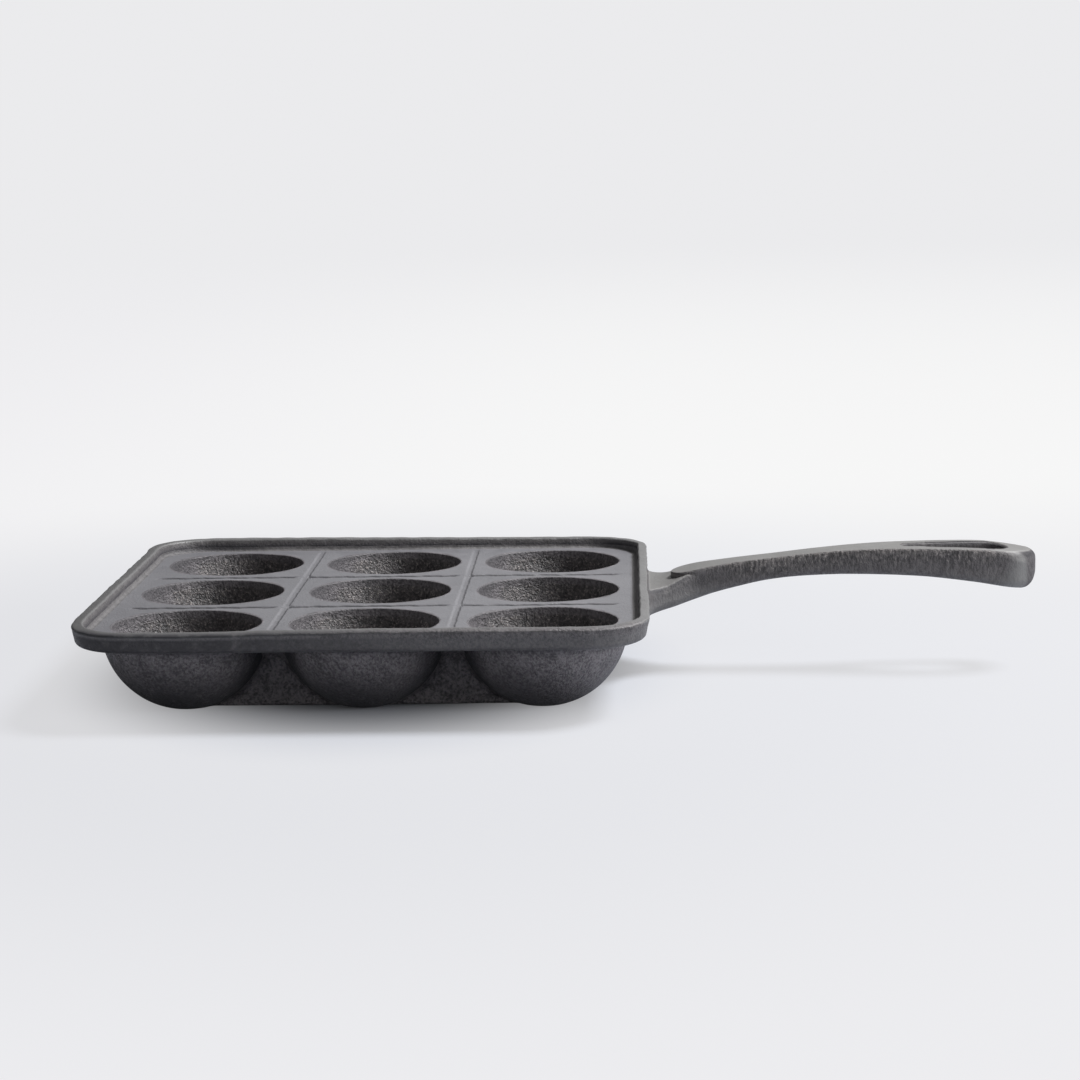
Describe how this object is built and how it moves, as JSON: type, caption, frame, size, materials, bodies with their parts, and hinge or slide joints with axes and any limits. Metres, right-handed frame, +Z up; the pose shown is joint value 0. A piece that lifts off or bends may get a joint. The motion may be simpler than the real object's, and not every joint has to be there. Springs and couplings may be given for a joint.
{
  "type": "takoyaki pan",
  "caption": "Square cast-iron griddle pan with a raised rim, hemispherical cups joined by webs underneath, and a rising handle with a teardrop slot for hanging.",
  "frame": {"origin": "middle of the flat ground on the centre cup's bottom, on the surface that the pan stands on", "axes": "+X along the handle towards its tip, +Z up out of the cups, +Y to the left seen from above with the handle pointing away"},
  "size_m": [0.2628, 0.153, 0.0341],
  "materials": {
    "deck_iron": "smooth matt sand casting, dark grey",
    "cup_iron": "smooth deck, coarse cast grain in and under the cup",
    "web_iron": "coarse cast grain, dark",
    "handle_iron": "smooth top, sides with fine upright casting marks"
  },
  "bodies": {
    "root": {"cup_front_left": "cup_iron", "cup_front_centre": "cup_iron", "cup_front_right": "cup_iron", "cup_middle_left": "cup_iron", "cup_middle_centre": "cup_iron", "cup_middle_right": "cup_iron", "cup_back_left": "cup_iron", "cup_back_centre": "cup_iron", "cup_back_right": "cup_iron", "rim_frame": "deck_iron", "web_front_row_left": "web_iron", "web_front_row_right": "web_iron", "web_middle_row_left": "web_iron", "web_middle_row_right": "web_iron", "web_back_row_left": "web_iron", "web_back_row_right": "web_iron", "web_left_column_front": "web_iron", "web_left_column_back": "web_iron", "web_centre_column_front": "web_iron", "web_centre_column_back": "web_iron", "web_right_column_front": "web_iron", "web_right_column_back": "web_iron", "handle_root": "handle_iron", "handle_grip": "handle_iron", "hanging_eye": "handle_iron"}
  },
  "joints": []
}
